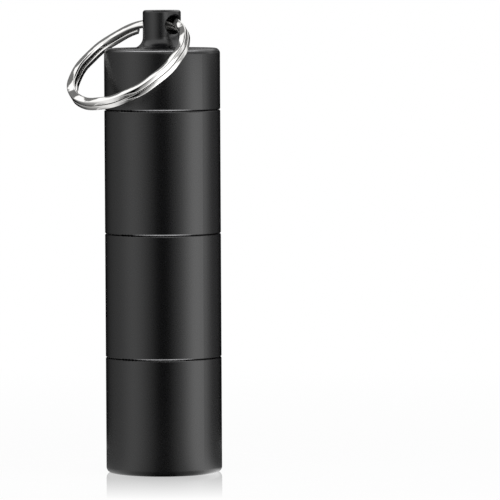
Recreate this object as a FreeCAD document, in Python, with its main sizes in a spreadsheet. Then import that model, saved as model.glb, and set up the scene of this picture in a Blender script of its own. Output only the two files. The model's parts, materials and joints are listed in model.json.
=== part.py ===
# Pill fob keychain: three screw-together aluminium pill cups under a cap, carried on a split ring.
# Millimetres. The origin is the centre of the base, +Z points up to the key post, the post's cross hole
# runs along X and the split ring hangs towards -Y.
import FreeCAD
import Part
import Sketcher
import math
import os
import re

# Driving dimensions: alias, value, what it measures
SIZES = [
    ("body_diameter", 17.8, "outside of all four stages"),
    ("cap_height", 9.4, "cap, without its post"),
    ("cup_height", 18.9, "upper and middle cup, without the neck"),
    ("bottom_height", 17.75, "bottom cup, without the neck"),
    ("seam_gap", 0.08, "between two stages that are screwed tight"),
    ("seam_edge", 0.2, "broken edge on both sides of a seam"),
    ("cap_edge_round", 0.8, "top edge of the cap"),
    ("base_edge_round", 0.85, "bottom edge of the bottom cup"),
    ("socket_wall", 0.95, "wall round the mouth of a socket"),
    ("neck_wall", 0.85, "wall of a neck under its seal"),
    ("floor_thickness", 1.4, "between a pill bore and the socket under it"),
    ("base_thickness", 1.6, "closed base of the bottom cup"),
    ("floor_round", 1.0, "foot of a pill bore"),
    ("rim_chamfer", 0.2, "inner rim of a neck and mouth of a socket"),
    ("lead_chamfer", 0.35, "outer rim of a neck, where the thread starts"),
    ("neck_end_clearance", 0.3, "end of a neck to the roof of its socket"),
    ("seal_section", 1.1, "thickness of a seal ring"),
    ("seal_clearance", 0.05, "seal to the walls inside and outside it"),
    ("seal_side_clearance", 0.1, "seal to the sides of its groove"),
    ("groove_depth", 0.75, "seal groove, below the outside of the neck"),
    ("land_height", 0.6, "plain collar between seal groove and thread"),
    ("thread_length", 4.6, "threaded part of a neck"),
    ("thread_pitch", 1.0, "rise of the thread in one turn"),
    ("thread_depth", 0.4, "crest to root of the outer thread"),
    ("thread_crest", 0.25, "flat on the crest of the outer thread"),
    ("thread_flank_angle", 30.0, "slope of a flank, in degrees"),
    ("thread_clearance", 0.1, "between the outer and the inner thread"),
    ("thread_overrun", 0.1, "how far a thread tool reaches past the wall"),
    ("relief_height", 1.0, "tool relief at the roof of a socket"),
    ("relief_depth", 0.1, "tool relief, past the root of the inner thread"),
    ("post_diameter", 5.85, "key post on the cap"),
    ("post_height", 5.82, "key post over the cap's top face"),
    ("post_crown", 0.78, "metal over the cross hole"),
    ("post_base_round", 1.7, "hollow round at the foot of the post"),
    ("post_top_round", 0.4, "top edge of the post"),
    ("hole_mouth_chamfer", 0.2, "broken edge of the cross hole"),
    ("ring_hole_clearance", 0.03, "cross hole past the corners of the ring wire"),
    ("ring_diameter", 20.5, "outside of the split ring"),
    ("wire_width", 1.3, "ring wire across the ring's plane"),
    ("wire_thickness", 0.76, "ring wire along the ring's axis"),
    ("wire_round", 0.28, "rounded corners of the ring wire"),
    ("coil_gap", 0.12, "between the two coils of the ring"),
    ("wave_count", 12, "waves pressed into one turn of the ring"),
    ("wave_depth", 0.1, "trough of a wave, below its crests"),
    ("wave_crest", 0.6, "flat left between two waves"),
    ("jog_lead_angle", 30.5, "from the cross hole to the upper end of the jog, in degrees"),
    ("jog_angle", 34.0, "part of a turn in which the wire changes coils, in degrees"),
    ("ring_push", 0.53, "ring wire past the middle of the cross hole, away from the ring's centre"),
    ("ring_over_rim", 0.92, "ring's middle plane over the cap's top face, where it crosses the cap's edge"),
    ("ring_side_clearance", 0.3, "ring to the side of a body that is too slim for it to rest on the rim"),
]

# Sizes that follow from the driving ones
WORKED_OUT = {
    "body_radius": "body_diameter / 2",
    "mouth_radius": "body_radius - socket_wall",
    "seal_radius": "mouth_radius - seal_clearance - seal_section / 2",
    "groove_radius": "seal_radius - seal_section / 2 - seal_clearance",
    "bore_radius": "groove_radius - neck_wall",
    "neck_radius": "groove_radius + groove_depth",
    "groove_height": "seal_section + 2 * seal_side_clearance",
    "land_top": "groove_height + land_height",
    "neck_height": "land_top + thread_length",
    "socket_depth": "neck_height + neck_end_clearance",
    "mouth_height": "land_top + thread_pitch",
    "flank_slope": "tan(thread_flank_angle * 1 deg)",
    "root_radius": "neck_radius - thread_depth",
    "thread_half": "(thread_pitch - thread_crest) / 2",
    "thread_start": "land_top + thread_half",
    "tap_radius": "root_radius + thread_clearance",
    "tap_root_radius": "neck_radius + thread_clearance",
    "tap_half": "thread_crest / 2 + thread_clearance",
    "tap_start": "thread_start - thread_pitch / 2 - seam_gap",
    "tap_end": "socket_depth - relief_height / 2",
    "relief_radius": "tap_root_radius + relief_depth",
    "middle_base": "bottom_height + seam_gap",
    "upper_base": "middle_base + cup_height + seam_gap",
    "cap_base": "upper_base + cup_height + seam_gap",
    "post_radius": "post_diameter / 2",
    "ring_radius": "(ring_diameter - wire_width) / 2",
    "coil_level": "(wire_thickness + coil_gap) / 2",
    "coil_face": "coil_level + wire_thickness / 2",
    "hole_radius": "sqrt((ring_push + wire_width / 2) ^ 2 + coil_face ^ 2) + ring_hole_clearance",
    "hole_height": "post_height - post_crown - hole_radius",
    "coil_angle": "360 - jog_angle",
    "coil_start": "90 + jog_lead_angle",
    "jog_start": "coil_start - jog_angle",
    "jog_pitch": "2 * coil_level * 360 / jog_angle",
    "wave_half": "ring_radius * sin(180 deg / wave_count) - wave_crest / 2",
    "wave_radius": "(wave_half ^ 2 + wave_depth ^ 2) / (2 * wave_depth)",
    "wave_angle": "180 / wave_count",
    "ring_arm": "ring_radius - ring_push",
    "ring_drop": "hole_height - ring_over_rim",
    "ring_span": "body_radius ^ 2 + ring_drop ^ 2 - ring_radius ^ 2 + ring_arm ^ 2",
    "ring_rim_slope": "2 * ring_arm * ring_drop / ring_span",
    "ring_reach": "ring_arm + ring_radius - wire_width / 2",
    "ring_side_cosine": "(body_radius + ring_side_clearance) / sqrt(ring_reach ^ 2 + coil_face ^ 2)",
    "ring_side_slope": "sin(acos(ring_side_cosine) - atan(coil_face / ring_reach))",
    "ring_slope": "min(ring_rim_slope; ring_side_slope)",
}

TINY = 1e-4

doc = FreeCAD.newDocument("PillFob")
sheet = doc.addObject("Spreadsheet::Sheet", "Sizes")
for row, (alias, size, note) in enumerate(SIZES, start=1):
    sheet.set(f"A{row}", note)
    sheet.set(f"B{row}", str(size))
    sheet.setAlias(f"B{row}", alias)
doc.recompute()
ALIASES = {alias for alias, size, note in SIZES}


def in_cells(text):
    """An expression on the sheet's cells, from words of SIZES and WORKED_OUT."""
    def cell(match):
        word = match.group()
        if word in WORKED_OUT:
            return f"({in_cells(WORKED_OUT[word])})"
        return f"Sizes.{word}" if word in ALIASES else word
    return re.sub(r"[a-z]\w*", cell, text)


def value_of(text):
    size = sheet.evalExpression(in_cells(text))
    return float(getattr(size, "Value", size))


def bind(thing, prop, text):
    thing.setExpression(prop, in_cells(text))


def new_body(label, base):
    body = doc.addObject("PartDesign::Body", label)
    body.Label = label
    bind(body, "Placement.Base.z", base)
    return body


def new_sketch(body, name, role):
    sketch = body.newObject("Sketcher::SketchObject", name)
    plane = next(item for item in body.Origin.OriginFeatures if item.Role == role)
    sketch.AttachmentSupport = [(plane, "")]
    sketch.MapMode = "FlatFace"
    return sketch


def pin_point(sketch, item, place, x, y):
    """Hold a sketch point at x and y, two expressions, from the sketch's origin."""
    for kind, text, axis in (("DistanceX", x, -2), ("DistanceY", y, -1)):
        size = value_of(text)
        if size == 0:
            sketch.addConstraint(Sketcher.Constraint("PointOnObject", item, place, axis))
            continue
        ends = (-1, 1, item, place) if size > 0 else (item, place, -1, 1)
        number = sketch.addConstraint(Sketcher.Constraint(kind, *ends, abs(size)))
        bind(sketch, f"Constraints[{number}]", text if size > 0 else f"-({text})")


def outline(body, name, role, corners):
    """A closed polygon whose corners are pairs of expressions."""
    sketch = new_sketch(body, name, role)
    points = [FreeCAD.Vector(value_of(x), value_of(y), 0) for x, y in corners]
    for item, point in enumerate(points):
        sketch.addGeometry(Part.LineSegment(points[item - 1], point), False)
    for item, (x, y) in enumerate(corners):
        following = (item + 1) % len(corners)
        sketch.addConstraint(Sketcher.Constraint("Coincident", item, 2, following, 1))
        pin_point(sketch, item, 2, x, y)
    return sketch


def turned(body, kind, name, corners):
    """Turn a polygon of radius and height about the body's axis: a Revolution adds, a Groove cuts."""
    feature = body.newObject(f"PartDesign::{kind}", name)
    sketch = outline(body, f"{name}Outline", "XZ_Plane", corners)
    feature.Profile = sketch
    feature.ReferenceAxis = (sketch, ["V_Axis"])
    feature.Angle = 360
    body.Tip = feature
    return feature


def on_rim(radius, height):
    wanted_radius = value_of(radius)
    wanted_height = value_of(height)

    def test(point):
        off_radius = abs(math.hypot(point.x, point.y) - wanted_radius)
        return off_radius < TINY and abs(point.z - wanted_height) < TINY
    return test


def edges_where(shape, tests):
    """Names of the edges that lie all along where one of the tests holds."""
    names = []
    for number, edge in enumerate(shape.Edges, start=1):
        points = edge.discretize(Number=5)
        if any(all(test(point) for point in points) for test in tests):
            names.append(f"Edge{number}")
    return names


def broken_edges(body, kind, name, size, *tests):
    """A Fillet or Chamfer on the body's edges that pass one of the tests."""
    doc.recompute()
    base = body.Tip
    names = edges_where(base.Shape, tests)
    if not names:
        raise RuntimeError(f"{body.Label}: no edge for {name}")
    feature = body.newObject(f"PartDesign::{kind}", name)
    feature.Base = (base, names)
    bind(feature, "Radius" if kind == "Fillet" else "Size", size)
    body.Tip = feature
    return feature


def screw_cut(body, name, corners, pitch, length):
    """Cut a polygon in the YZ plane along a right-hand screw about the body's axis."""
    doc.recompute()
    feature = body.newObject("PartDesign::SubtractiveHelix", name)
    sketch = outline(body, f"{name}Outline", "YZ_Plane", corners)
    feature.Profile = sketch
    feature.ReferenceAxis = (sketch, ["V_Axis"])
    feature.Mode = 0
    bind(feature, "Pitch", pitch)
    bind(feature, "Height", length)
    feature.Angle = 0
    feature.LeftHanded = False
    feature.Reversed = False
    body.Tip = feature
    return feature


def cut_neck_thread(body, shoulder):
    """The V groove of the outer thread, from the land to past the rim."""
    outside = "neck_radius + thread_overrun"
    half_out = "thread_half + thread_overrun * flank_slope"
    half_root = "thread_half - thread_depth * flank_slope"
    centre = f"{shoulder} + thread_start"
    screw_cut(body, "NeckThread", [
        ("root_radius", f"{centre} - ({half_root})"),
        (outside, f"{centre} - ({half_out})"),
        (outside, f"{centre} + {half_out}"),
        ("root_radius", f"{centre} + {half_root}"),
    ], "thread_pitch", "thread_length + thread_pitch / 2")


def cut_socket(body):
    """The socket in the underside: seal mouth, inner thread and tool relief."""
    turned(body, "Groove", "Socket", [
        ("0", "0"),
        ("mouth_radius", "0"),
        ("mouth_radius", "mouth_height"),
        ("tap_radius", "mouth_height"),
        ("tap_radius", "socket_depth - relief_height"),
        ("relief_radius", "socket_depth - relief_height"),
        ("relief_radius", "socket_depth"),
        ("0", "socket_depth"),
    ])
    broken_edges(body, "Chamfer", "MouthEdge", "rim_chamfer", on_rim("mouth_radius", "0"))


def cut_socket_thread(body):
    """The inner thread, which leaves the clearance all round the ridge of the outer one."""
    inside = "tap_radius - thread_overrun"
    half_in = f"tap_half + (neck_radius - ({inside})) * flank_slope"
    half_root = "tap_half - thread_clearance * flank_slope"
    screw_cut(body, "SocketThread", [
        (inside, f"tap_start - ({half_in})"),
        ("tap_root_radius", f"tap_start - ({half_root})"),
        ("tap_root_radius", f"tap_start + {half_root}"),
        (inside, f"tap_start + {half_in}"),
    ], "thread_pitch", "tap_end - tap_start")


def cup(label, base, height, floor, bottom_edge, with_socket):
    """A stage with a pill bore and a threaded neck, and with a socket for the stage under it."""
    body = new_body(label, base)
    rim = f"{height} + neck_height"
    turned(body, "Revolution", "Blank", [
        ("0", "0"),
        ("body_radius", "0"),
        ("body_radius", height),
        ("neck_radius", height),
        ("neck_radius", rim),
        ("0", rim),
    ])
    turned(body, "Groove", "PillBore", [
        ("0", floor),
        ("bore_radius", floor),
        ("bore_radius", rim),
        ("0", rim),
    ])
    turned(body, "Groove", "SealGroove", [
        ("groove_radius", height),
        ("neck_radius", height),
        ("neck_radius", f"{height} + groove_height"),
        ("groove_radius", f"{height} + groove_height"),
    ])
    if with_socket:
        cut_socket(body)
    broken_edges(body, "Fillet", "BottomEdge", bottom_edge, on_rim("body_radius", "0"))
    broken_edges(body, "Fillet", "ShoulderEdge", "seam_edge", on_rim("body_radius", height))
    broken_edges(body, "Fillet", "BoreFoot", "floor_round", on_rim("bore_radius", floor))
    broken_edges(body, "Chamfer", "BoreRim", "rim_chamfer", on_rim("bore_radius", rim))
    broken_edges(body, "Chamfer", "NeckLead", "lead_chamfer", on_rim("neck_radius", rim))
    cut_neck_thread(body, height)
    if with_socket:
        cut_socket_thread(body)
    return body


def cap():
    """The cap with its key post, turned in one, and the cross hole for the ring."""
    body = new_body("cap", "cap_base")
    post_top = "cap_height + post_height"
    turned(body, "Revolution", "Blank", [
        ("0", "0"),
        ("body_radius", "0"),
        ("body_radius", "cap_height"),
        ("post_radius", "cap_height"),
        ("post_radius", post_top),
        ("0", post_top),
    ])
    cut_socket(body)
    broken_edges(body, "Fillet", "BottomEdge", "seam_edge", on_rim("body_radius", "0"))
    broken_edges(body, "Fillet", "TopEdge", "cap_edge_round", on_rim("body_radius", "cap_height"))
    broken_edges(body, "Fillet", "PostFoot", "post_base_round", on_rim("post_radius", "cap_height"))
    broken_edges(body, "Fillet", "PostTop", "post_top_round", on_rim("post_radius", post_top))
    cut_cross_hole(body)
    cut_socket_thread(body)
    return body


def add_circle(sketch, radius, height):
    """A circle centred on the sketch's upright axis."""
    centre = FreeCAD.Vector(0, value_of(height), 0)
    circle = sketch.addGeometry(Part.Circle(centre, FreeCAD.Vector(0, 0, 1), value_of(radius)), False)
    pin_point(sketch, circle, 3, "0", height)
    number = sketch.addConstraint(Sketcher.Constraint("Radius", circle, value_of(radius)))
    bind(sketch, f"Constraints[{number}]", radius)


def cut_cross_hole(body):
    """The hole for the ring, across the post, with broken edges at both mouths."""
    centre_height = "cap_height + hole_height"
    feature = body.newObject("PartDesign::Pocket", "CrossHole")
    sketch = new_sketch(body, "CrossHoleOutline", "YZ_Plane")
    add_circle(sketch, "hole_radius", centre_height)
    feature.Profile = sketch
    feature.SideType = "Symmetric"
    bind(feature, "Length", "body_diameter")
    body.Tip = feature

    radius = value_of("hole_radius")
    height = value_of(centre_height)

    def on_mouth(point):
        off_radius = abs(math.hypot(point.y, point.z - height) - radius)
        return off_radius < TINY and abs(point.x) > radius
    broken_edges(body, "Chamfer", "HoleMouth", "hole_mouth_chamfer", on_mouth)


def seal(label, shoulder):
    """A rubber ring in the groove at the foot of a neck."""
    ring = doc.addObject("Part::Torus", label)
    ring.Label = label
    bind(ring, "Radius1", "seal_radius")
    bind(ring, "Radius2", "seal_section / 2")
    bind(ring, "Placement.Base.z", f"{shoulder} + groove_height / 2")
    return ring


def turn_sketch(sketch, angle):
    """Turn a sketch on an upright plane about the body's axis."""
    upright = FreeCAD.Vector(0, 1, 0)
    sketch.AttachmentOffset = FreeCAD.Placement(FreeCAD.Vector(), FreeCAD.Rotation(upright, value_of(angle)))
    bind(sketch, "AttachmentOffset.Rotation.Angle", angle)


def wire_section(body, name, level, angle):
    """The ring wire's section with rounded corners, at a height and an angle about the ring's axis."""
    sketch = new_sketch(body, name, "XZ_Plane")
    turn_sketch(sketch, angle)
    across = "(wire_width / 2 - wire_round)"
    along = "(wire_thickness / 2 - wire_round)"
    signs = [("+", "+"), ("-", "+"), ("-", "-"), ("+", "-")]
    centres = [(f"ring_radius {x} {across}", f"{level} {y} {along}") for x, y in signs]
    points = [FreeCAD.Vector(value_of(x), value_of(y), 0) for x, y in centres]
    radius = value_of("wire_round")
    facing = FreeCAD.Vector(0, 0, 1)
    quarter = math.pi / 2
    for corner, point in enumerate(points):
        arc = Part.ArcOfCircle(Part.Circle(point, facing, radius), corner * quarter, (corner + 1) * quarter)
        sketch.addGeometry(arc, False)
    for corner, point in enumerate(points):
        following = (corner + 1) % len(points)
        turn = (corner + 1) * quarter
        out = FreeCAD.Vector(math.cos(turn), math.sin(turn), 0) * radius
        side = sketch.addGeometry(Part.LineSegment(point + out, points[following] + out), False)
        sketch.addConstraint(Sketcher.Constraint("Tangent", corner, 2, side, 1))
        sketch.addConstraint(Sketcher.Constraint("Tangent", side, 2, following, 1))
    for corner, (x, y) in enumerate(centres):
        pin_point(sketch, corner, 3, x, y)
    for corner in range(1, len(points)):
        sketch.addConstraint(Sketcher.Constraint("Equal", 0, corner))
    number = sketch.addConstraint(Sketcher.Constraint("Radius", 0, radius))
    bind(sketch, f"Constraints[{number}]", "wire_round")
    return sketch


def add_coil(body, name, level):
    coil = body.newObject("PartDesign::Revolution", name)
    sketch = wire_section(body, f"{name}Section", level, "coil_start")
    coil.Profile = sketch
    coil.ReferenceAxis = (sketch, ["V_Axis"])
    bind(coil, "Angle", "coil_angle")
    body.Tip = coil


def add_jog(body):
    """The wire's climb from the lower to the upper coil, along a right-hand screw."""
    jog = body.newObject("PartDesign::AdditiveHelix", "Jog")
    sketch = wire_section(body, "JogSection", "-coil_level", "jog_start")
    jog.Profile = sketch
    jog.ReferenceAxis = (sketch, ["V_Axis"])
    jog.Mode = 0
    bind(jog, "Pitch", "jog_pitch")
    bind(jog, "Height", "2 * coil_level")
    body.Tip = jog


def press_waves(body):
    """Shallow troughs across both outer faces of the ring, all the way round."""
    trough = body.newObject("PartDesign::Pocket", "Trough")
    sketch = new_sketch(body, "TroughOutline", "XZ_Plane")
    turn_sketch(sketch, "wave_angle")
    centre = "(coil_face + wave_radius - wave_depth)"
    add_circle(sketch, "wave_radius", centre)
    add_circle(sketch, "wave_radius", f"-{centre}")
    trough.Profile = sketch
    bind(trough, "Length", "ring_diameter")
    body.Tip = trough
    doc.recompute()
    waves = body.newObject("PartDesign::PolarPattern", "Waves")
    waves.Originals = [trough]
    waves.Axis = (sketch, ["V_Axis"])
    waves.Angle = 360
    bind(waves, "Occurrences", "wave_count")
    body.Tip = waves


def split_ring():
    """Two flat coils, one over the other, joined by the jog that lies in the cross hole."""
    body = new_body("split_ring", "cap_base + cap_height + hole_height - ring_arm * ring_slope")
    bind(body, "Placement.Base.y", "-ring_arm * sqrt(1 - ring_slope ^ 2)")
    along_hole = FreeCAD.Vector(1, 0, 0)
    lean = math.degrees(math.asin(value_of("ring_slope")))
    body.Placement = FreeCAD.Placement(body.Placement.Base, FreeCAD.Rotation(along_hole, lean))
    bind(body, "Placement.Rotation.Angle", "asin(ring_slope)")
    add_coil(body, "LowerCoil", "-coil_level")
    add_jog(body)
    add_coil(body, "UpperCoil", "coil_level")
    press_waves(body)
    return body


def check_document():
    for item in doc.Objects:
        if "Invalid" in item.State or "Error" in item.State:
            raise RuntimeError(f"{item.Label} failed: {item.State}")


def main():
    pieces = [
        cup("bottom_cup", "0", "bottom_height", "base_thickness", "base_edge_round", False),
        cup("middle_cup", "middle_base", "cup_height", "socket_depth + floor_thickness", "seam_edge", True),
        cup("upper_cup", "upper_base", "cup_height", "socket_depth + floor_thickness", "seam_edge", True),
        cap(),
        seal("lower_seal", "bottom_height"),
        seal("middle_seal", "middle_base + cup_height"),
        seal("upper_seal", "upper_base + cup_height"),
        split_ring(),
    ]
    doc.recompute()
    check_document()
    for piece in pieces:
        if piece.Shape.isNull() or not piece.Shape.isValid() or len(piece.Shape.Solids) != 1:
            raise RuntimeError(f"{piece.Label} is not one valid solid")
    os.makedirs("parts", exist_ok=True)
    for piece in pieces:
        piece.Shape.exportStep(f"parts/{piece.Label}.step")
        box = piece.Shape.BoundBox
        print(f"{piece.Label}: volume {piece.Shape.Volume:.2f}, z {box.ZMin:.3f} to {box.ZMax:.3f}")


main()
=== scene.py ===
import json
import math
import bpy
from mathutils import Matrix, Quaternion, Vector


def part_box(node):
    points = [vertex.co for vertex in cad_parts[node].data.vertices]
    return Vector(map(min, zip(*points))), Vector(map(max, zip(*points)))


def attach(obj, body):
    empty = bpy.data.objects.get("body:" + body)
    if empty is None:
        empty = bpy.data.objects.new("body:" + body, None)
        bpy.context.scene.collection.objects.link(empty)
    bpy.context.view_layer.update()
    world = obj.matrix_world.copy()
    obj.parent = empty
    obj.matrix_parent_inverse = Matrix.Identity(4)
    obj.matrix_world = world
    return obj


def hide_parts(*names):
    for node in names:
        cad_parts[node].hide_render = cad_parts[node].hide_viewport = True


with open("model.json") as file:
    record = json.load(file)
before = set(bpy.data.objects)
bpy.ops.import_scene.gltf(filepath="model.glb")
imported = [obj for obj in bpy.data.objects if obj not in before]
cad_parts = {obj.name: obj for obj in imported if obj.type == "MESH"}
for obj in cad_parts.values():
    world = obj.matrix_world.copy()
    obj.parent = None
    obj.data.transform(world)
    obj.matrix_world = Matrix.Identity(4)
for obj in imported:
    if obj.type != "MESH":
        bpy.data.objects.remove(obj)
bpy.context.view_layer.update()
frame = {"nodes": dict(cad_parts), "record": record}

mm = 0.001  # sizes below are in millimetres, the frame is in metres
record = frame["record"]


def hexColour(text):
    # sRGB hex to the linear values that a colour socket holds
    parts = [int(text[i:i + 2], 16) / 255 for i in (1, 3, 5)]
    linear = [c / 12.92 if c <= 0.04045 else ((c + 0.055) / 1.055) ** 2.4 for c in parts]
    return (*linear, 1.0)


def addNode(tree, kind, settings=None, links=None):
    # a setting is a socket's value or, where no socket has that name, an option of the node
    node = tree.nodes.new(kind)
    for name, value in (settings or {}).items():
        if isinstance(name, int) or name in node.inputs:
            node.inputs[name].default_value = value
        else:
            setattr(node, name, value)
    for name, socket in (links or {}).items():
        tree.links.new(socket, node.inputs[name])
    return node


def newMaterial(name):
    material = bpy.data.materials.new(name)
    material.use_nodes = True
    material.node_tree.nodes.clear()
    return material, material.node_tree


def endMaterial(tree, shader):
    addNode(tree, "ShaderNodeOutputMaterial", links={"Surface": shader.outputs[0]})


# Camera: where the photograph was taken from, round the stack's own axis
photoView = {
    "azimuth": 46.7,      # degrees to the right of the front
    "distance": 850.0,
    "height": 82.0,       # above the floor
    "aimHeight": 34.1,    # level of the picture's middle, at the stack's axis
    "aimRight": 13.35,    # the picture's middle lies this far right of the axis
    "roll": 0.28,         # degrees, the stack leans left at its top
    "lens": 399.0,
    "sensor": 36.0,
    "nearest": 50.0,      # nothing closer to the camera shows
}
viewTurn = math.radians(photoView["azimuth"])
towardsCamera = Vector((math.sin(viewTurn), -math.cos(viewTurn), 0))
pictureRight = Vector((math.cos(viewTurn), math.sin(viewTurn), 0))
upward = Vector((0, 0, 1))


def makeCamera(view):
    data = bpy.data.cameras.new("photoCamera")
    data.lens = view["lens"]
    data.sensor_width = view["sensor"]
    data.clip_start = view["nearest"] * mm
    camera = bpy.data.objects.new("photoCamera", data)
    bpy.context.scene.collection.objects.link(camera)
    camera.location = towardsCamera * view["distance"] * mm + upward * view["height"] * mm
    aim = pictureRight * view["aimRight"] * mm + upward * view["aimHeight"] * mm
    look = aim - camera.location
    camera.rotation_mode = "QUATERNION"
    rolled = Quaternion(look.normalized(), math.radians(view["roll"]))
    camera.rotation_quaternion = rolled @ look.to_track_quat("-Z", "Y")
    bpy.context.scene.camera = camera


makeCamera(photoView)
print("camera at azimuth", photoView["azimuth"])


# Black anodised aluminium, turned, bead blasted and dyed. The oxide film hides the metal, so the eye
# sees a near-black satin with broad soft highlights and a very fine grain, and a pale painted highlight
# lies along the stages' edges.
anodised = {
    "colour": "#08080a",
    "fadeColour": "#0c0c0d",   # the dye takes unevenly
    # pale colour of the painted highlight along the stages' edges
    "edgeHighlightColour": "#bcbcbe",
    "fadeSize": 9.0,           # cloudiness of the dye
    "fadeDetail": 3.0,
    "grit": 0.28,              # blasting marks are 0.1, drawn coarser so that they show
    "gritDetail": 2.0,
    "gritRise": 0.004,
    "roughness": 0.28,
    "roughnessSwing": 0.05,
    "footHighlightReach": 0.22,           # how far the painted highlight reaches up from a stage's foot
    "rimHighlightReach": 0.13,            # and down from its rim
    "fullHighlightShare": 0.45,         # share of that reach in which the painted highlight is at full strength
    "highlightLobes": 3,                # lobes of painted highlight round a stage, each on its own stretch of an edge
    "highlightLobeTurn": 46.7,          # degrees from the front to the first of them, the side that the camera looks from
    "outsideShare": 0.97,      # what lies further out than this share of the radius is a stage's outside
    "ior": 1.6,
}


def paintedEdgeHighlight(tree, spec, height, press, edge):
    # 1 where the painted highlight lies: near the edge's level, in the lobes round the stage
    level, reach, spread = edge
    gap = addNode(tree, "ShaderNodeMath", {"operation": "SUBTRACT", 1: level}, {0: height})
    size = addNode(tree, "ShaderNodeMath", {"operation": "ABSOLUTE"}, {0: gap.outputs[0]})
    edgeBand = addNode(tree, "ShaderNodeMapRange", {"From Min": reach * spec["fullHighlightShare"], "From Max": reach,
                                               "To Min": 1.0, "To Max": 0.0}, {"Value": size.outputs[0]})
    lobe = addNode(tree, "ShaderNodeMath", {"operation": "ADD", 1: spread, "use_clamp": True},
                   {0: press})
    return addNode(tree, "ShaderNodeMath", {"operation": "MULTIPLY"},
                   {0: edgeBand.outputs[0], 1: lobe.outputs[0]})


def anodisedAluminium(name, spec, radius, edges):
    material, tree = newMaterial(name)
    place = addNode(tree, "ShaderNodeTexCoord")
    fade = addNode(tree, "ShaderNodeTexNoise", {
        "Scale": 1 / (spec["fadeSize"] * mm), "Detail": spec["fadeDetail"]},
        {"Vector": place.outputs["Object"]})
    grit = addNode(tree, "ShaderNodeTexNoise", {
        "Scale": 1 / (spec["grit"] * mm), "Detail": spec["gritDetail"]},
        {"Vector": place.outputs["Object"]})
    colour = addNode(tree, "ShaderNodeMix", {"data_type": "RGBA", 6: hexColour(spec["colour"]),
                                             7: hexColour(spec["fadeColour"])}, {0: fade.outputs[0]})
    axes = addNode(tree, "ShaderNodeSeparateXYZ", links={0: place.outputs["Object"]})
    turn = addNode(tree, "ShaderNodeMath", {"operation": "ARCTAN2"},
                   {0: axes.outputs["X"], 1: axes.outputs["Y"]})
    # lobes of painted highlight round the stage (press), the first turned to the camera's side
    lead = math.radians(spec["highlightLobes"] * (spec["highlightLobeTurn"] - 180))
    lobeAngle = addNode(tree, "ShaderNodeMath", {"operation": "MULTIPLY_ADD", 1: spec["highlightLobes"], 2: lead},
                     {0: turn.outputs[0]})
    press = addNode(tree, "ShaderNodeMath", {"operation": "COSINE"}, {0: lobeAngle.outputs[0]})
    # the painted highlight goes only on the outside of the stage, not its bore
    flat = addNode(tree, "ShaderNodeCombineXYZ", links={0: axes.outputs["X"], 1: axes.outputs["Y"]})
    reach = addNode(tree, "ShaderNodeVectorMath", {"operation": "LENGTH"}, {0: flat.outputs[0]})
    highlightFrom = radius - spec["footHighlightReach"] * mm
    outer = addNode(tree, "ShaderNodeMath", {"operation": "GREATER_THAN", 1: highlightFrom},
                    {0: reach.outputs["Value"]})
    for edge in edges:
        # painted highlight along each edge, mixed into the colour in its pale highlight colour
        paintedHighlight = paintedEdgeHighlight(tree, spec, axes.outputs["Z"], press.outputs[0], edge)
        highlightMask = addNode(tree, "ShaderNodeMath", {"operation": "MULTIPLY"},
                       {0: paintedHighlight.outputs[0], 1: outer.outputs[0]})
        colour = addNode(tree, "ShaderNodeMix", {
            "data_type": "RGBA", 7: hexColour(spec["edgeHighlightColour"])},
            {0: highlightMask.outputs[0], 6: colour.outputs[2]})
    rough = addNode(tree, "ShaderNodeMapRange", {
        "To Min": spec["roughness"] - spec["roughnessSwing"] / 2,
        "To Max": spec["roughness"] + spec["roughnessSwing"] / 2}, {"Value": grit.outputs[0]})
    bump = addNode(tree, "ShaderNodeBump", {"Distance": spec["gritRise"] * mm},
                   {"Height": grit.outputs[0]})
    shader = addNode(tree, "ShaderNodeBsdfPrincipled", {"IOR": spec["ior"]}, {
        "Base Color": colour.outputs[2], "Roughness": rough.outputs[0], "Normal": bump.outputs[0]})
    endMaterial(tree, shader)
    return material


# Stages from the floor up, with how far the painted highlight spreads round each edge: nearly all
# round the cap's rim, in narrow lobes at the feet.
stages = {
    "bottom_cup": {},
    "middle_cup": {"foot": 0.1},
    "upper_cup": {"foot": 0.1},
    "cap": {"foot": 0.1, "rim": 0.9},
}


def dressStages():
    for name, paintedHighlight in stages.items():
        mesh = frame["nodes"][name].data
        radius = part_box(name)[1].x
        # the outside of the stage, without its neck or post
        outside = radius * anodised["outsideShare"]
        levels = [point.co.z for point in mesh.vertices if math.hypot(point.co.x, point.co.y) > outside]
        ends = {"foot": min(levels), "rim": max(levels)}
        edges = [(ends[edge], anodised[edge + "HighlightReach"] * mm, spread) for edge, spread in paintedHighlight.items()]
        material = anodisedAluminium("blackAnodisedAluminium." + name, anodised, radius, edges)
        mesh.materials.clear()
        mesh.materials.append(material)


dressStages()
print("stages dressed in black anodised aluminium")


# Nitrile rubber, moulded: dull black with a faint sheen and a soft uneven skin
nitrile = {
    "colour": "#0d0d0d",
    "dustColour": "#1c1b1a",
    "dustSize": 0.6,
    "dustDetail": 4.0,
    "skin": 0.15,
    "skinRise": 0.01,
    "roughness": 0.55,
}


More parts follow.
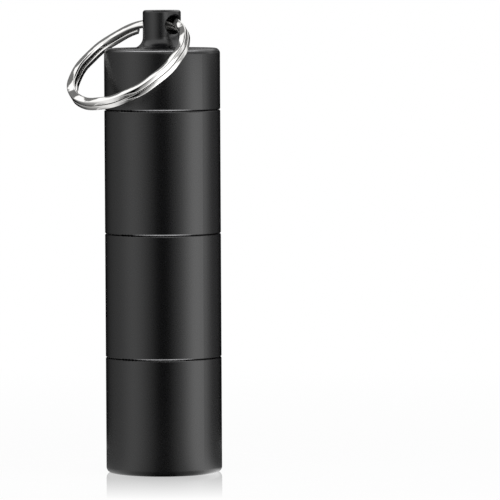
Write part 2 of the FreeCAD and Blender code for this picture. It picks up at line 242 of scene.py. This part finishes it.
def nitrileRubber(spec):
    material, tree = newMaterial("blackNitrileRubber")
    place = addNode(tree, "ShaderNodeTexCoord")
    dust = addNode(tree, "ShaderNodeTexNoise", {
        "Scale": 1 / (spec["dustSize"] * mm), "Detail": spec["dustDetail"]},
        {"Vector": place.outputs["Object"]})
    skin = addNode(tree, "ShaderNodeTexNoise", {"Scale": 1 / (spec["skin"] * mm)},
                   {"Vector": place.outputs["Object"]})
    colour = addNode(tree, "ShaderNodeMix", {"data_type": "RGBA", 6: hexColour(spec["colour"]),
                                             7: hexColour(spec["dustColour"])}, {0: dust.outputs[0]})
    bump = addNode(tree, "ShaderNodeBump", {"Distance": spec["skinRise"] * mm},
                   {"Height": skin.outputs[0]})
    shader = addNode(tree, "ShaderNodeBsdfPrincipled", {"Roughness": spec["roughness"]},
                     {"Base Color": colour.outputs[2], "Normal": bump.outputs[0]})
    endMaterial(tree, shader)
    return material


sealRubber = nitrileRubber(nitrile)
for node in ("lower_seal", "middle_seal", "upper_seal"):
    frame["nodes"][node].data.materials.clear()
    frame["nodes"][node].data.materials.append(sealRubber)
print("seals dressed in nitrile rubber")


# Split ring: spring wire in two nested coils, with a wave pressed into it all the way round
ringWire = {
    "outside": 20.5,
    "width": 1.3,
    "thickness": 0.76,
    "gap": 0.1,
    "corners": (0.14, 0.34, 0.14, 0.14),  # outer top, inner top, inner foot and outer foot
    "waves": 12,           # in one turn
    "waveLead": 22.0,      # degrees from a crest to the cross hole
    "waveRise": 0.04,
    "waveRoll": 1.0,       # degrees that the wire tips to and fro with its waves
    "jogLead": 30.5,       # degrees from the cross hole to the upper end of the jog
    "jogSpan": 34.0,       # degrees in which the wire climbs to the other coil
    "step": 1.5,           # degrees between two sections
    "cornerSteps": 5,
    "endChamfer": 0.07,
    "endCornerShare": 0.5,  # share of the chamfer that an end's corners lose
    "crease": 38.0,        # degrees, flatter edges than this are shaded smooth
}


def wireSection(spec, inset):
    # rounded rectangle, across the ring and along its axis
    halfWidth = spec["width"] / 2 - inset
    halfThick = spec["thickness"] / 2 - inset
    points = []
    for quarter, (sideX, sideY) in enumerate(((1, 1), (-1, 1), (-1, -1), (1, -1))):
        corner = spec["corners"][quarter] - inset * spec["endCornerShare"]
        for part in range(spec["cornerSteps"] + 1):
            turn = math.radians(90 * (quarter + part / spec["cornerSteps"]))
            points.append((sideX * (halfWidth - corner) + corner * math.cos(turn),
                           sideY * (halfThick - corner) + corner * math.sin(turn)))
    return points


def wireWave(spec, along):
    # 1 on a crest, -1 in a trough
    return math.cos(math.radians(spec["waves"] * (along + spec["jogLead"] + spec["waveLead"])))


def wireLevel(spec, along):
    # height of the wire's middle over the ring's plane, at an angle along the wire
    level = (spec["thickness"] + spec["gap"]) / 2
    climbStart = 360 - spec["jogSpan"]
    share = min(max((along - climbStart) / spec["jogSpan"], 0), 1)
    climb = share * share * (3 - 2 * share)
    return level * (2 * climb - 1) + spec["waveRise"] * wireWave(spec, along)


def wireRoll(spec, along):
    # the press tips the wire's faces, its inner edge up where the wave is high
    return math.radians(spec["waveRoll"]) * wireWave(spec, along)


def makeRing(spec, centre, normal):
    towardsHole = normal.cross(Vector((1, 0, 0)))
    across = towardsHole.cross(normal)
    radius = (spec["outside"] - spec["width"]) / 2
    span = 720 - spec["jogSpan"]
    count = round(span / spec["step"])
    tip = math.degrees(spec["endChamfer"] / radius)
    stations = [(0.0, spec["endChamfer"])]
    stations += [(tip + (span - 2 * tip) * i / count, 0.0) for i in range(count + 1)]
    stations += [(span, spec["endChamfer"])]
    verts = []
    for along, inset in stations:
        turn = math.radians(90 + spec["jogLead"] + along)
        outward = across * math.cos(turn) + towardsHole * math.sin(turn)
        level = wireLevel(spec, along)
        tipCos, tipSin = math.cos(wireRoll(spec, along)), math.sin(wireRoll(spec, along))
        for x, y in wireSection(spec, inset):
            sideways, upwards = x * tipCos + y * tipSin, y * tipCos - x * tipSin
            verts.append(centre + (outward * (radius + sideways) + normal * (level + upwards)) * mm)
    size = len(wireSection(spec, 0))
    faces = [tuple(range(size))]
    for row in range(len(stations) - 1):
        for i in range(size):
            j = (i + 1) % size
            faces.append((row * size + i, (row + 1) * size + i, (row + 1) * size + j, row * size + j))
    faces.append(tuple(len(verts) - 1 - i for i in range(size)))
    mesh = bpy.data.meshes.new("waveSplitRing")
    mesh.from_pydata(verts, [], faces)
    mesh.validate()
    mesh.update()
    mesh.polygons.foreach_set("use_smooth", [True] * len(mesh.polygons))
    mesh.set_sharp_from_angle(angle=math.radians(spec["crease"]))
    ring = bpy.data.objects.new("waveSplitRing", mesh)
    bpy.context.scene.collection.objects.link(ring)
    return ring


# Nickel plate over spring steel, barrel polished: a bright neutral mirror with fine hairlines
nickel = {
    "colour": "#efeeed",
    "warmColour": "#e6e5e2",
    "warmSize": 4.0,
    "warmDetail": 2.0,
    "roughness": 0.05,
    "hairline": 0.1,
    "hairlineDetail": 3.0,
    "hairlineRough": 0.1,
    "dent": 1.1,               # tumbling leaves soft dents of this size
    "dentDetail": 1.0,
    "dentRise": 0.02,
}


def nickelPlate(spec):
    material, tree = newMaterial("brightNickelPlate")
    place = addNode(tree, "ShaderNodeTexCoord")
    warm = addNode(tree, "ShaderNodeTexNoise", {
        "Scale": 1 / (spec["warmSize"] * mm), "Detail": spec["warmDetail"]},
        {"Vector": place.outputs["Object"]})
    hair = addNode(tree, "ShaderNodeTexNoise", {
        "Scale": 1 / (spec["hairline"] * mm), "Detail": spec["hairlineDetail"]},
        {"Vector": place.outputs["Object"]})
    colour = addNode(tree, "ShaderNodeMix", {"data_type": "RGBA", 6: hexColour(spec["colour"]),
                                             7: hexColour(spec["warmColour"])}, {0: warm.outputs[0]})
    rough = addNode(tree, "ShaderNodeMapRange", {
        "To Min": spec["roughness"], "To Max": spec["hairlineRough"]}, {"Value": hair.outputs[0]})
    dent = addNode(tree, "ShaderNodeTexNoise", {
        "Scale": 1 / (spec["dent"] * mm), "Detail": spec["dentDetail"]},
        {"Vector": place.outputs["Object"]})
    bump = addNode(tree, "ShaderNodeBump", {"Distance": spec["dentRise"] * mm},
                   {"Height": dent.outputs[0]})
    shader = addNode(tree, "ShaderNodeBsdfPrincipled", {"Metallic": 1.0}, {
        "Base Color": colour.outputs[2], "Roughness": rough.outputs[0], "Normal": bump.outputs[0]})
    endMaterial(tree, shader)
    return material


loop = next(mount for mount in record["mounts"] if mount["name"] == "key_loop")
ring = makeRing(ringWire, Vector(loop["pos_m"]), Vector(loop["axis"]).normalized())
ring.data.materials.append(nickelPlate(nickel))
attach(ring, "split_ring")
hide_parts("split_ring")
print("split ring:", len(ring.data.vertices), "points")


# Studio: a pale floor, a white surround, three softboxes and a cloth tent that shapes the black body
def aroundStack(angle, distance, height):
    # a place at an angle to the right of the camera, seen from the stack
    turn = math.radians(angle)
    away = towardsCamera * math.cos(turn) + pictureRight * math.sin(turn)
    return away * distance * mm + upward * height * mm


def faceStack(thing, height):
    look = upward * height * mm - thing.location
    thing.rotation_mode = "QUATERNION"
    thing.rotation_quaternion = look.to_track_quat("-Z", "Y")


softboxes = {
    "rightSoftbox": {"angle": 66, "distance": 300, "height": 60, "aim": 35,
                     "width": 150, "tall": 260, "white": 2.2},
    "leftSoftbox": {"angle": -58, "distance": 300, "height": 60, "aim": 35,
                    "width": 150, "tall": 260, "white": 1.0},
    "topSoftbox": {"angle": 0, "distance": 60, "height": 320, "aim": 50,
                   "width": 240, "tall": 240, "white": 2.0},
}


def makeSoftbox(name, spec):
    data = bpy.data.lights.new(name, "AREA")
    data.shape = "RECTANGLE"
    data.size = spec["width"] * mm
    data.size_y = spec["tall"] * mm
    data.energy = spec["white"] * math.pi * data.size * data.size_y  # radiance, 1 is a white surface's
    light = bpy.data.objects.new(name, data)
    bpy.context.scene.collection.objects.link(light)
    light.location = aroundStack(spec["angle"], spec["distance"], spec["height"])
    faceStack(light, spec["aim"])
    light.visible_glossy = False  # the object mirrors the lit cloth of the tent instead


for name, spec in softboxes.items():
    makeSoftbox(name, spec)

# Tent of cloth round the stack: white at both sides and in a strip behind, black in front, graded between
tentSpec = {
    "radius": 50.0,
    "tall": 108.0,
    "segments": 96,
    "brightest": 2.4,
    # angle to the right of the camera and how white the cloth is there
    "cloth": ((-180, 2.0), (-175, 2.0), (-166, 0.0), (-142, 0.0), (-118, 0.18), (-86, 0.52),
              (-60, 1.02), (-46, 0.94), (-9, 0.0), (9, 0.0), (32, 0.65), (57, 2.2), (74, 2.05),
              (90, 0.8), (104, 0.22), (142, 0.0), (166, 0.0), (175, 2.0), (180, 2.0)),
    # the same round the key post, and the levels between which the cloth changes to it
    "postFrom": 65.0,
    "postTo": 67.0,
    "postCloth": ((-180, 0.0), (-142, 0.0), (-118, 0.18), (-86, 0.52), (-60, 1.02), (-46, 0.94),
                  (-9, 0.0), (5, 0.3), (14, 1.9), (20, 2.4), (27, 2.4), (36, 1.1), (56, 0.9),
                  (72, 0.5), (95, 0.6), (104, 1.1), (112, 0.9), (117, 0.22), (136, 0.16),
                  (150, 0.0), (180, 0.0)),
    "collarFrom": 82.0,       # level where the cloth starts to turn to the white of the roof
    "collarTo": 90.0,
    "roof": 1.25,
    # a grey card fills the top on the side that faces right, front and up by these shares
    "cardFacing": (0.356, -0.712, -0.605),
    "cardFrom": -53.0,        # how far along that direction it starts
    "cardLeft": 15.0,         # left of the axis, where the card ends
    "cardEdge": 2.0,          # width of its soft edges
    "card": 0.2,
    "ventFrom": 20.0,         # a dark opening over the post ends between these distances
    "ventTo": 30.0,
}


def greyLevel(level):
    return (level, level, level, 1)


def clothWhite(tree, cloth, brightest, share):
    ramp = addNode(tree, "ShaderNodeValToRGB", links={0: share})
    stops = ramp.color_ramp.elements
    while len(stops) < len(cloth):
        stops.new(0.5)  # moved to its own angle below
    for stop, (turn, white) in zip(stops, cloth):
        stop.position = turn / 360 + 0.5
        stop.color = greyLevel(white / brightest)
    return ramp


def placeRoundStack(tree, place):
    # length to the right of the axis, and the angle from the camera as a share of the turn from behind
    right, front = [addNode(tree, "ShaderNodeVectorMath", {"operation": "DOT_PRODUCT", 1: way},
                            {0: place.outputs["Position"]}) for way in (pictureRight, towardsCamera)]
    angle = addNode(tree, "ShaderNodeMath", {"operation": "ARCTAN2"},
                    {0: right.outputs["Value"], 1: front.outputs["Value"]})
    share = addNode(tree, "ShaderNodeMapRange", {"From Min": -math.pi, "From Max": math.pi},
                    {"Value": angle.outputs[0]})
    return right.outputs["Value"], share.outputs[0]


def tentCloth(spec):
    material, tree = newMaterial("gradedTentCloth")
    place = addNode(tree, "ShaderNodeNewGeometry")
    right, share = placeRoundStack(tree, place)
    lower = clothWhite(tree, spec["cloth"], spec["brightest"], share)
    upper = clothWhite(tree, spec["postCloth"], spec["brightest"], share)
    cardRight, cardFront, cardUp = spec["cardFacing"]
    facing = pictureRight * cardRight + towardsCamera * cardFront + upward * cardUp
    depth = addNode(tree, "ShaderNodeVectorMath", {"operation": "DOT_PRODUCT", 1: facing},
                    {0: place.outputs["Position"]})
    halfEdge = spec["cardEdge"] / 2
    card = addNode(tree, "ShaderNodeMapRange", {
        "From Min": (spec["cardFrom"] - halfEdge) * mm, "From Max": (spec["cardFrom"] + halfEdge) * mm},
        {"Value": depth.outputs["Value"]})
    left = addNode(tree, "ShaderNodeMapRange", {
        "From Min": (halfEdge - spec["cardLeft"]) * mm, "From Max": (-halfEdge - spec["cardLeft"]) * mm},
        {"Value": right})
    covered = addNode(tree, "ShaderNodeMath", {"operation": "MULTIPLY"},
                      {0: card.outputs[0], 1: left.outputs[0]})
    top = addNode(tree, "ShaderNodeMix", {
        "data_type": "RGBA", 6: greyLevel(spec["roof"] / spec["brightest"]),
        7: greyLevel(spec["card"] / spec["brightest"])}, {0: covered.outputs[0]})
    axes = addNode(tree, "ShaderNodeSeparateXYZ", links={0: place.outputs["Position"]})
    post = addNode(tree, "ShaderNodeMapRange", {
        "From Min": spec["postFrom"] * mm, "From Max": spec["postTo"] * mm},
        {"Value": axes.outputs["Z"]})
    sides = addNode(tree, "ShaderNodeMix", {"data_type": "RGBA"},
                    {0: post.outputs[0], 6: lower.outputs[0], 7: upper.outputs[0]})
    collar = addNode(tree, "ShaderNodeMapRange", {
        "From Min": spec["collarFrom"] * mm, "From Max": spec["collarTo"] * mm},
        {"Value": axes.outputs["Z"]})
    flat = addNode(tree, "ShaderNodeCombineXYZ", links={0: axes.outputs["X"], 1: axes.outputs["Y"]})
    reach = addNode(tree, "ShaderNodeVectorMath", {"operation": "LENGTH"}, {0: flat.outputs[0]})
    vent = addNode(tree, "ShaderNodeMapRange", {
        "From Min": spec["ventFrom"] * mm, "From Max": spec["ventTo"] * mm},
        {"Value": reach.outputs["Value"]})
    roof = addNode(tree, "ShaderNodeMix", {"data_type": "RGBA", 6: greyLevel(0.0)},
                   {0: vent.outputs[0], 7: top.outputs[2]})
    cloth = addNode(tree, "ShaderNodeMix", {"data_type": "RGBA"},
                    {0: collar.outputs[0], 6: sides.outputs[2], 7: roof.outputs[2]})
    lit = addNode(tree, "ShaderNodeEmission", {"Strength": spec["brightest"]},
                  {"Color": cloth.outputs[2]})
    # the floor's sharp mirror shows the white surround, not the cloth
    clear = addNode(tree, "ShaderNodeBsdfTransparent")
    path = addNode(tree, "ShaderNodeLightPath")
    shader = addNode(tree, "ShaderNodeMixShader", links={
        0: path.outputs["Is Singular Ray"], 1: lit.outputs[0], 2: clear.outputs[0]})
    endMaterial(tree, shader)
    return material


def makeTent(spec):
    mesh = bpy.data.meshes.new("lightTent")
    count = spec["segments"]
    verts = []
    for i in range(count):
        angle = 360 * i / count - 180
        verts += [aroundStack(angle, spec["radius"], level) for level in (0.0, spec["tall"])]
    total = len(verts)
    faces = [(i, i + 1, (i + 3) % total, (i + 2) % total) for i in range(0, total, 2)]
    faces.append(tuple(range(1, total, 2)))  # the roof
    mesh.from_pydata(verts, [], faces)
    mesh.materials.append(tentCloth(spec))
    tent = bpy.data.objects.new("lightTent", mesh)
    bpy.context.scene.collection.objects.link(tent)
    tent.visible_camera = False  # only mirrored in the object
    tent.visible_diffuse = False
    tent.visible_shadow = False
    tent.visible_transmission = False


makeTent(tentSpec)

surround = {"fill": 0.55, "white": 1.0}


def makeWorld(spec):
    world = bpy.data.worlds.new("studio")
    bpy.context.scene.world = world
    world.use_nodes = True
    tree = world.node_tree
    tree.nodes.clear()
    path = addNode(tree, "ShaderNodeLightPath")
    seen = addNode(tree, "ShaderNodeMath", {"operation": "MAXIMUM"},
                   {0: path.outputs["Is Camera Ray"], 1: path.outputs["Is Glossy Ray"]})
    shown = addNode(tree, "ShaderNodeMath", {"operation": "MAXIMUM"},
                    {0: seen.outputs[0], 1: path.outputs["Is Transmission Ray"]})
    strength = addNode(tree, "ShaderNodeMapRange", {"To Min": spec["fill"], "To Max": spec["white"]},
                       {"Value": shown.outputs[0]})
    sky = addNode(tree, "ShaderNodeBackground", {"Color": (1, 1, 1, 1)},
                  {"Strength": strength.outputs[0]})
    addNode(tree, "ShaderNodeOutputWorld", links={"Surface": sky.outputs[0]})


makeWorld(surround)

# White acrylic floor, polished: the eye sees a white plane that mirrors the foot of the stack, less and
# less with distance, under a faint shadow. Near the stack the object's reflections see it glow with a
# painted reflection of the tent's cloth.
floorSpec = {
    "size": 900.0,
    "colour": "#f6f6f6",
    "glow": 0.9,           # share that is plain white by the stack, the rest takes its shadow
    "whiteFrom": 60.0,     # between these distances it rises to all of the floor
    "whiteTo": 200.0,
    "mirror": 0.44,        # strength of the mirror at the foot
    "mirrorFrom": 8.9,     # between these distances it fades away
    "mirrorTo": 42.0,
    "imageFrom": 44.0,     # between these distances the painted reflection of the cloth on the floor ends
    "imageTo": 50.0,
}


def makeFloor(spec):
    half = spec["size"] / 2 * mm
    mesh = bpy.data.meshes.new("floor")
    corners = [(-half, -half, 0), (half, -half, 0), (half, half, 0), (-half, half, 0)]
    mesh.from_pydata(corners, [], [(0, 1, 2, 3)])
    material, tree = newMaterial("whiteAcrylicFloor")
    place = addNode(tree, "ShaderNodeNewGeometry")
    reach = addNode(tree, "ShaderNodeVectorMath", {"operation": "LENGTH"},
                    {0: place.outputs["Position"]})
    matt = addNode(tree, "ShaderNodeBsdfDiffuse", {"Color": hexColour(spec["colour"])})
    gloss = addNode(tree, "ShaderNodeBsdfGlossy", {"Color": (1, 1, 1, 1), "Roughness": 0.0})
    path = addNode(tree, "ShaderNodeLightPath")
    seen = addNode(tree, "ShaderNodeMath", {"operation": "MAXIMUM"},
                   {0: path.outputs["Is Camera Ray"], 1: path.outputs["Is Glossy Ray"]})
    white = addNode(tree, "ShaderNodeMapRange", {
        "From Min": spec["whiteFrom"] * mm, "From Max": spec["whiteTo"] * mm, "To Min": spec["glow"],
        "To Max": 1.0}, {"Value": reach.outputs["Value"]})
    whiteShare = addNode(tree, "ShaderNodeMath", {"operation": "MULTIPLY"},
                         {0: seen.outputs[0], 1: white.outputs[0]})
    # inside the tent the object mirrors a painted reflection of the cloth, which the floor glows with
    brightest = tentSpec["brightest"]
    paintedClothImage = clothWhite(tree, tentSpec["cloth"], brightest, placeRoundStack(tree, place)[1])
    outside = addNode(tree, "ShaderNodeMapRange", {
        "From Min": spec["imageFrom"] * mm, "From Max": spec["imageTo"] * mm},
        {"Value": reach.outputs["Value"]})
    plainWhite = addNode(tree, "ShaderNodeMath", {"operation": "MAXIMUM"},
                         {0: outside.outputs[0], 1: path.outputs["Is Camera Ray"]})
    tone = addNode(tree, "ShaderNodeMix", {"data_type": "RGBA", 7: greyLevel(1 / brightest)},
                   {0: plainWhite.outputs[0], 6: paintedClothImage.outputs[0]})
    glow = addNode(tree, "ShaderNodeEmission", {"Strength": brightest}, {"Color": tone.outputs[2]})
    plain = addNode(tree, "ShaderNodeMixShader", links={
        0: whiteShare.outputs[0], 1: matt.outputs[0], 2: glow.outputs[0]})
    fading = addNode(tree, "ShaderNodeMapRange", {
        "From Min": spec["mirrorFrom"] * mm, "From Max": spec["mirrorTo"] * mm, "To Min": spec["mirror"],
        "To Max": 0.0}, {"Value": reach.outputs["Value"]})
    mirror = addNode(tree, "ShaderNodeMath", {"operation": "MULTIPLY"},
                     {0: fading.outputs[0], 1: path.outputs["Is Camera Ray"]})
    shader = addNode(tree, "ShaderNodeMixShader", links={
        0: mirror.outputs[0], 1: plain.outputs[0], 2: gloss.outputs[0]})
    endMaterial(tree, shader)
    mesh.materials.append(material)
    floor = bpy.data.objects.new("floor", mesh)
    bpy.context.scene.collection.objects.link(floor)


makeFloor(floorSpec)
print("studio:", len(softboxes), "softboxes, tent and floor")

bpy.context.scene.view_settings.view_transform = "Standard"
